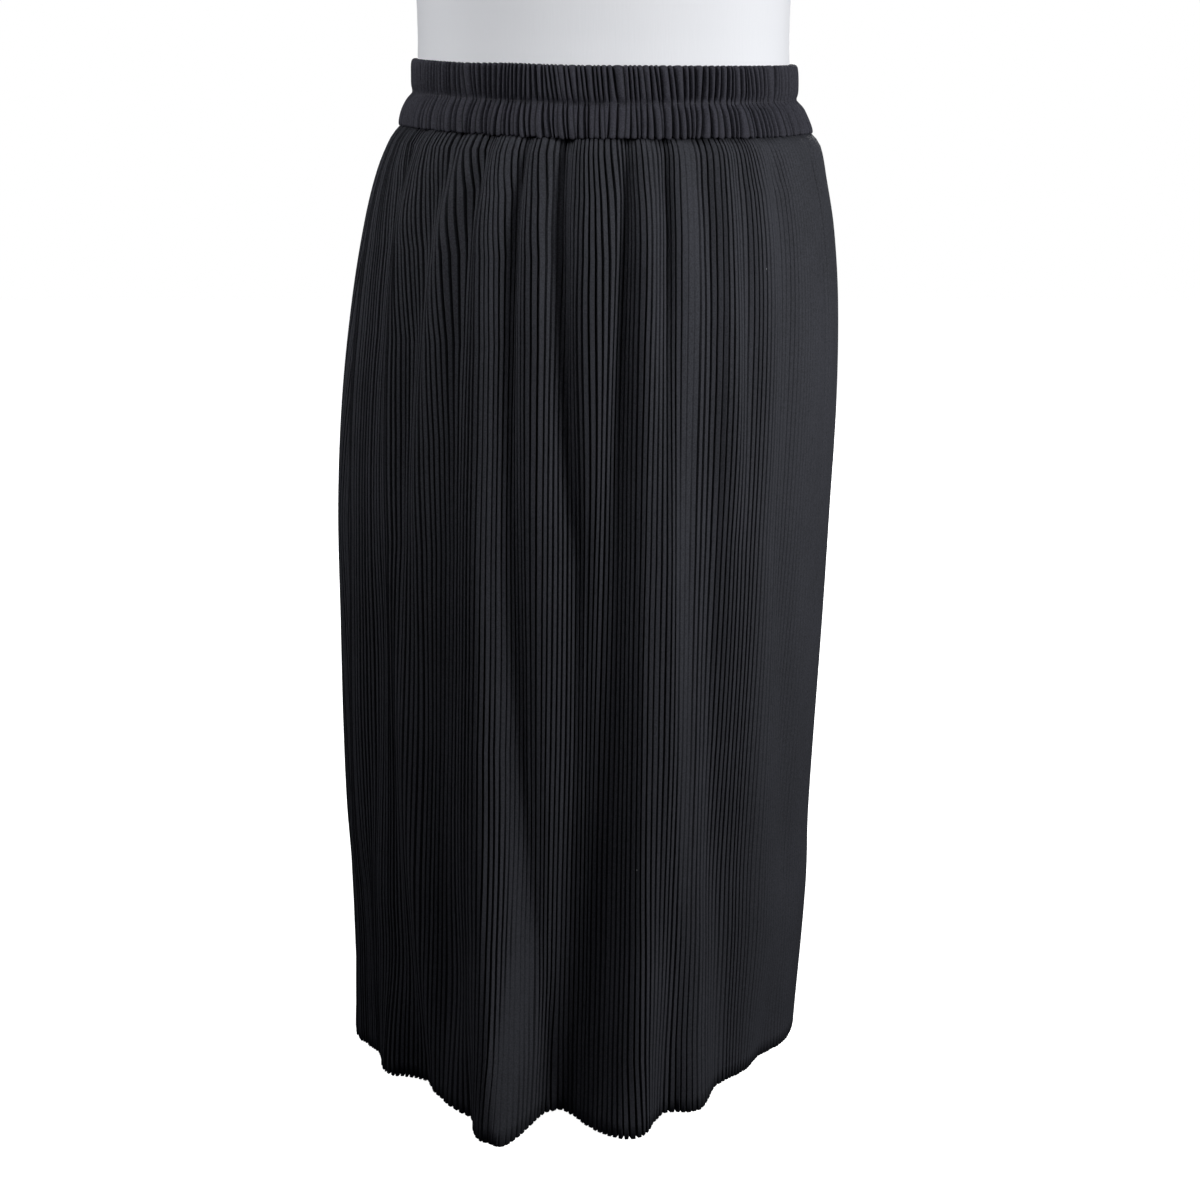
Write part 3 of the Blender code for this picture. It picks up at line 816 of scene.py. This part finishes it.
# height above the floor, side reach, front reach, back reach
torsoSections = (
    (0.4500, 0.1180, 0.0900, 0.0950),
    (0.4560, 0.1400, 0.1080, 0.1140),
    (0.4760, 0.1560, 0.1210, 0.1280),
    (0.5250, 0.1675, 0.1295, 0.1395),
    (0.5900, 0.1700, 0.1310, 0.1420),
    (0.6500, 0.1655, 0.1280, 0.1365),
    (0.7100, 0.1550, 0.1205, 0.1230),
    (0.7500, 0.1440, 0.1136, 0.1116),
    (0.7780, 0.1370, 0.1096, 0.1046),
    (0.7860, 0.1356, 0.1082, 0.1032),
    (0.8050, 0.1352, 0.1077, 0.1027),
    (0.8250, 0.1345, 0.1065, 0.1005),
    (0.8600, 0.1352, 0.1075, 0.0990),
    (0.9000, 0.1405, 0.1130, 0.0990),
    (0.9450, 0.1480, 0.1250, 0.1010),
    (0.9850, 0.1540, 0.1360, 0.1040),
    (1.0150, 0.1575, 0.1375, 0.1060),
    (1.0550, 0.1625, 0.1275, 0.1080),
    (1.1000, 0.1700, 0.1100, 0.1080),
    (1.1450, 0.1775, 0.0945, 0.1030),
    (1.1750, 0.1780, 0.0820, 0.0930),
    (1.1950, 0.1670, 0.0740, 0.0840),
    (1.2120, 0.1340, 0.0675, 0.0745),
    (1.2280, 0.0920, 0.0610, 0.0650),
    (1.2450, 0.0650, 0.0560, 0.0580),
    (1.2650, 0.0565, 0.0530, 0.0540),
    (1.2960, 0.0540, 0.0510, 0.0520),
    (1.3000, 0.0500, 0.0475, 0.0485),
)

torso = {
    "segments": 192,
    "rows": 150,
    "seamTurns": (-90.0, 90.0, 180.0),
    "seamWidth": 0.9,            # degrees
    "seamDepth": 0.0007,
    "capRings": 6,
    "capBulge": 0.0004,
}


def torsoRing(z):
    turns = 360.0 * np.arange(torso["segments"]) / torso["segments"]
    side, front, back = sectionAt(torsoSections, z)
    line = ovalPoints(turns, side, side, front, back)
    dip = np.zeros(len(turns))
    for seamTurn in torso["seamTurns"]:
        dip += torso["seamDepth"] * np.exp(-((angleAway(turns, seamTurn) / torso["seamWidth"]) ** 2))
    line = line * (1.0 - dip / np.linalg.norm(line, axis=1))[:, None]
    return np.column_stack([line, np.full(len(turns), z)])


def makeTorso(material):
    bottom, top = torsoSections[0][0], torsoSections[-1][0]
    heights = np.linspace(bottom, top, torso["rows"])
    heights = np.unique(np.concatenate([heights, [row[0] for row in torsoSections]]))
    rings = [torsoRing(z) for z in heights]
    caps = [1.0 - step / torso["capRings"] for step in range(1, torso["capRings"])]
    under = [rings[0] * (share, share, 1.0) for share in reversed(caps)]
    bulge = torso["capBulge"]
    over = [rings[-1] * (share, share, 1.0) + (0.0, 0.0, bulge * (1.0 - share)) for share in caps]
    mesh = shellMesh("formTorso", under + rings + over, wrapColumns=True, wrapRings=False, endCaps=True)
    facesOut(mesh)
    addPiece("formTorso", mesh, material, ["form_body"])


# Stand: a round enamelled plate and the pole under the form

stand = {
    "poleRadius": 0.0125,
    "baseRadius": 0.115,
    "baseThickness": 0.008,
    "edgeRounding": 0.002,
    "collarRadius": 0.021,
    "collarHeight": 0.016,
    "collarRounding": 0.003,
    "collarFootRounding": 0.001,
    "poleRounding": 0.0008,
    "poleRings": 8,
    "segments": 96,
    "gap": 0.0003,
    "sharpAngle": 40.0,
}


def turnedPiece(name, profile, material, replaced):
    # a profile of radius and height, spun round the pole's axis
    turns = np.radians(360.0 * np.arange(stand["segments"]) / stand["segments"])
    rings = [np.column_stack([r * np.sin(turns), -r * np.cos(turns), np.full(len(turns), z)])
             for r, z in profile]
    mesh = shellMesh(name, rings, wrapColumns=True, wrapRings=False, endCaps=True)
    facesOut(mesh)
    addPiece(name, mesh, material, replaced)
    mesh.set_sharp_from_angle(angle=math.radians(stand["sharpAngle"]))


def roundedCorner(radius, z, rounding, steps, upper):
    # radius and height along a quarter round, from below up
    quarter = np.linspace(0.0, math.pi / 2, steps)
    centre = radius - rounding
    if upper:
        return [(centre + rounding * math.cos(a), z - rounding + rounding * math.sin(a)) for a in quarter]
    return [(centre + rounding * math.sin(a), z + rounding - rounding * math.cos(a)) for a in quarter]


def makeStand(material):
    rim, thick = stand["edgeRounding"], stand["baseThickness"]
    profile = [(stand["baseRadius"] * share, 0.0) for share in (0.2, 0.6, 0.9)]
    profile += roundedCorner(stand["baseRadius"], 0.0, rim * 0.5, 5, upper=False)
    profile += roundedCorner(stand["baseRadius"], thick, rim, 8, upper=True)
    profile += [(stand["baseRadius"] * share, thick) for share in (0.9, 0.6, 0.2)]
    turnedPiece("standBase", profile, material, ["form_base"])
    foot = thick + stand["gap"]
    underForm = torsoSections[0][0] - stand["gap"]
    pole, collar, rise = stand["poleRadius"], stand["collarRadius"], stand["collarHeight"]
    soft, count = stand["poleRounding"], stand["poleRings"]
    profile = [(pole * 0.4, foot), (collar * 0.8, foot)]
    profile += roundedCorner(collar, foot, stand["collarFootRounding"], 4, upper=False)
    profile += roundedCorner(collar, foot + rise, stand["collarRounding"], 8, upper=True)
    profile += [(pole + soft, foot + rise), (pole, foot + rise + soft)]
    profile += [(pole, foot + rise + (underForm - foot - rise) * step / count) for step in range(1, count)]
    profile += roundedCorner(pole, underForm, soft, 4, upper=True) + [(pole * 0.4, underForm)]
    turnedPiece("standPole", profile, material, ["form_pole"])


# Materials

def clothGrain(tree, place, dark, light, cell):
    # the knit's grain, drawn coarser than the real 0.4 mm loops so that it shows, over slow clouds of tone
    cloud = addNode(tree, "ShaderNodeTexNoise", {"Scale": 11.0, "Detail": 3.0}, Vector=place)
    grain = addNode(tree, "ShaderNodeTexNoise", {"Scale": 1000 / cell, "Detail": 1.0, "Roughness": 0.6},
                    Vector=place)
    both = addNode(tree, "ShaderNodeMix", {".data_type": "FLOAT", "Factor": 0.7},
                   _2=cloud.outputs["Fac"], _3=grain.outputs["Fac"])
    steep = addNode(tree, "ShaderNodeMapRange", {"From Min": 0.36, "From Max": 0.64}, Value=both.outputs[0])
    return addNode(tree, "ShaderNodeMix", {".data_type": "RGBA", "6": linear(dark), "7": linear(light)},
                   Factor=steep.outputs["Result"])


def paintedCreaseShade(tree, tone, perMetre, width, dark, pressed=None):
    # painted shade: the cloth's colour is darkened deep in each crease, where shade falls; with a depth
    # attribute, less where the pleats are shallow
    cloth = addNode(tree, "ShaderNodeUVMap", {".uv_map": "cloth"})
    split = addNode(tree, "ShaderNodeSeparateXYZ", Vector=cloth.outputs["UV"])
    creases = addNode(tree, "ShaderNodeMath", {".operation": "MULTIPLY", "1": perMetre},
                      _0=split.outputs["X"])
    away = addNode(tree, "ShaderNodeMath", {".operation": "PINGPONG", "1": 0.5}, _0=creases.outputs[0])
    share = addNode(tree, "ShaderNodeMapRange", {"From Max": width, "To Min": dark}, Value=away.outputs[0])
    shadedTone = addNode(tree, "ShaderNodeMix", {".data_type": "RGBA", ".blend_type": "MULTIPLY", "Factor": 1.0},
                      _6=tone.outputs[2], _7=share.outputs["Result"])
    if pressed:
        depthLeft = addNode(tree, "ShaderNodeAttribute", {".attribute_name": pressed})
        feed(tree, shadedTone, Factor=depthLeft.outputs["Fac"])
    return shadedTone


def knitSurface(tree, shader, place, colour, roughness, specular):
    # what both black cloths share: the loops' fine bump and a dull face
    knit = addNode(tree, "ShaderNodeTexNoise", {"Scale": 1000 / 0.9, "Detail": 1.0}, Vector=place)
    bump = addNode(tree, "ShaderNodeBump", {"Strength": 0.25, "Distance": 0.0002}, Height=knit.outputs["Fac"])
    feed(tree, shader, {"Roughness": roughness, "Specular IOR Level": specular},
         Base_Color=colour.outputs[2], Normal=bump.outputs["Normal"])


def pleatedCrepe():
    # polyester crepe jersey, dyed near-black and heat-set in pleats: dull, with a faint cool sheen
    material, tree, shader = newMaterial("polyesterPleatedCrepe")
    place = addNode(tree, "ShaderNodeTexCoord").outputs["Object"]
    tone = clothGrain(tree, place, "#2f3034", "#3d3e44", 1.1)
    # painted shade at the bottom of each pleat's groove
    tone = paintedCreaseShade(tree, tone, 1.0 / pleats["clothInPleat"], pleats["groove"] * 1.2, 0.25, "pressed")
    # a speck of lint every few centimetres
    lint = addNode(tree, "ShaderNodeTexVoronoi", {"Scale": 1000 / 13}, Vector=place)
    near = addNode(tree, "ShaderNodeMath", {".operation": "LESS_THAN", "1": 0.040},
                   _0=lint.outputs["Distance"])
    chosen = addNode(tree, "ShaderNodeMath", {".operation": "GREATER_THAN", "1": 0.90},
                     _0=lint.outputs["Color"])
    speck = addNode(tree, "ShaderNodeMath", {".operation": "MULTIPLY"},
                    _0=near.outputs[0], _1=chosen.outputs[0])
    colour = addNode(tree, "ShaderNodeMix", {".data_type": "RGBA", "7": linear("#a6a8ac")},
                     Factor=speck.outputs[0], _6=tone.outputs[2])
    knitSurface(tree, shader, place, colour, 0.74, 0.06)
    return material


def bandJersey():
    # the same polyester jersey without pleats, folded over elastic: a touch smoother and darker
    material, tree, shader = newMaterial("polyesterBandJersey")
    place = addNode(tree, "ShaderNodeTexCoord").outputs["Object"]
    tone = clothGrain(tree, place, "#2d2d33", "#3d3d45", 1.0)
    # painted shade at the bottom of each gather's crease
    tone = paintedCreaseShade(tree, tone, band["gathers"] / band["cutWidth"], 0.20, 0.15)
    knitSurface(tree, shader, place, tone, 0.70, 0.08)
    return material


def blackThread():
    # spun polyester thread: matt, a little darker than the cloth
    material, tree, shader = newMaterial("spunPolyesterThread")
    place = addNode(tree, "ShaderNodeTexCoord").outputs["Object"]
    twist = addNode(tree, "ShaderNodeTexNoise", {"Scale": 2500.0}, Vector=place)
    tone = addNode(tree, "ShaderNodeMix",
                   {".data_type": "RGBA", "6": linear("#202124"), "7": linear("#333439")},
                   Factor=twist.outputs["Fac"])
    feed(tree, shader, {"Roughness": 0.6}, Base_Color=tone.outputs[2])
    return material


def formJersey():
    # white cotton jersey stretched over a hard form: matt, with fine vertical ribs
    material, tree, shader = newMaterial("cottonJerseyCover")
    place = addNode(tree, "ShaderNodeTexCoord").outputs["Object"]
    # real wales are 0.7 mm apart and drawn at 1.4 mm, so that they show
    wales = addNode(tree, "ShaderNodeMapping", {"Scale": (1000 / 1.4, 1000 / 1.4, 60.0)}, Vector=place)
    ribs = addNode(tree, "ShaderNodeTexNoise", {"Scale": 1.0, "Detail": 1.0, "Roughness": 0.4},
                   Vector=wales.outputs["Vector"])
    cloud = addNode(tree, "ShaderNodeTexNoise", {"Scale": 6.0, "Detail": 3.0}, Vector=place)
    tone = addNode(tree, "ShaderNodeMix",
                   {".data_type": "RGBA", "6": linear("#dcdee3"), "7": linear("#e9eaed")},
                   Factor=cloud.outputs["Fac"])
    bump = addNode(tree, "ShaderNodeBump", {"Strength": 0.25, "Distance": 0.0003}, Height=ribs.outputs["Fac"])
    feed(tree, shader, {"Roughness": 0.85, "Specular IOR Level": 0.2, "Sheen Weight": 0.1},
         Base_Color=tone.outputs[2], Normal=bump.outputs["Normal"])
    return material


def standEnamel():
    # stove enamel on steel: a smooth satin coat with a faint orange-peel
    material, tree, shader = newMaterial("stoveEnamelOnSteel")
    place = addNode(tree, "ShaderNodeTexCoord").outputs["Object"]
    peel = addNode(tree, "ShaderNodeTexNoise", {"Scale": 350.0, "Detail": 2.0}, Vector=place)
    smear = addNode(tree, "ShaderNodeTexNoise", {"Scale": 14.0, "Detail": 4.0}, Vector=place)
    gloss = addNode(tree, "ShaderNodeMapRange", {"To Min": 0.28, "To Max": 0.42}, Value=smear.outputs["Fac"])
    tone = addNode(tree, "ShaderNodeMix",
                   {".data_type": "RGBA", "6": linear("#dfdfde"), "7": linear("#e8e8e7")},
                   Factor=smear.outputs["Fac"])
    bump = addNode(tree, "ShaderNodeBump", {"Strength": 0.08, "Distance": 0.0003}, Height=peel.outputs["Fac"])
    feed(tree, shader, Base_Color=tone.outputs[2], Roughness=gloss.outputs["Result"],
         Normal=bump.outputs["Normal"])
    return material


# Studio: a pale floor and five soft lamps: a key at the near right, three weak ones, and one behind

studio = {
    "floorSize": 9.0,
    "floorDrop": 0.0002,
    "floorGlow": 1.0,
    "ambient": 0.03,
    # place, aim, width, watts, spread in degrees
    "lamps": {
        "keyLight": ((1.1, -0.7, 0.9), (0.0, 0.0, 0.6), 0.50, 15.0, 180.0),
        "topLight": ((0.0, -0.55, 1.5), (0.0, -0.1, 0.85), 0.50, 0.6, 90.0),
        "frontFill": ((-0.9, -0.6, 1.3), (0.0, 0.0, 0.85), 0.50, 1.35, 90.0),
        "leftLight": ((-2.2, -0.3, 1.8), (0.0, 0.0, 0.95), 0.60, 1.95, 64.0),
        "backFill": ((0.5, 2.4, 1.6), (0.0, 0.0, 0.6), 1.20, 52.0, 180.0),
    },
}


def softLamp(name, place, aim, width, watts, spread):
    data = bpy.data.lights.new(name, "AREA")
    data.shape, data.size, data.energy, data.spread = "DISK", width, watts, math.radians(spread)
    lamp = newObject(name, data)
    lamp.location = place
    lamp.rotation_euler = (Vector(aim) - Vector(place)).to_track_quat("-Z", "Y").to_euler()
    lamp.visible_camera = False


def makeStudio():
    half = studio["floorSize"] / 2
    mesh = bpy.data.meshes.new("studioFloor")
    corners = [(-half, -half), (half, -half), (half, half), (-half, half)]
    mesh.from_pydata([(x, y, -studio["floorDrop"]) for x, y in corners], [], [(0, 1, 2, 3)])
    material, tree, shader = newMaterial("mattWhiteFloor")
    feed(tree, shader, {"Base Color": linear("#f4f4f4"), "Roughness": 0.95,
                        "Emission Color": linear("#ffffff"), "Emission Strength": studio["floorGlow"]})
    mesh.materials.append(material)
    floor = newObject("studioFloor", mesh)
    floor.visible_diffuse = False          # so that it throws no light up onto the black cloth
    floor.visible_glossy = False
    # the room is white behind the skirt and dim on it
    world = bpy.data.worlds.new("studioRoom")
    world.use_nodes = True
    tree = world.node_tree
    dim = feed(tree, tree.nodes["Background"], {"Color": linear("#e4e8ff"), "Strength": studio["ambient"]})
    white = addNode(tree, "ShaderNodeBackground", {"Color": linear("#ffffff"), "Strength": 1.0})
    seen = addNode(tree, "ShaderNodeLightPath")
    mixed = addNode(tree, "ShaderNodeMixShader", _0=seen.outputs["Is Camera Ray"], _1=dim.outputs[0],
                    _2=white.outputs[0])
    feed(tree, tree.nodes["World Output"], Surface=mixed.outputs[0])
    bpy.context.scene.world = world
    for name, lamp in studio["lamps"].items():
        softLamp(name, *lamp)
    bpy.context.scene.view_settings.view_transform = "Standard"


makeCamera()
print("camera placed")
crepe, jersey, thread = pleatedCrepe(), bandJersey(), blackThread()
cover, enamel = formJersey(), standEnamel()
pleatedPanel("skirtFront", -90.0, 3, crepe, ["skirt_front"])
pleatedPanel("skirtBack", 90.0, 4, crepe, ["skirt_back"])
print("pleated panels made")
makeWaistband(jersey)
stitchLine("bandStitches", bandStitchPoints(), thread)
print("waistband gathered and stitched")
makeTorso(cover)
makeStand(enamel)
print("dress form and stand made")
makeStudio()
print("studio lit")
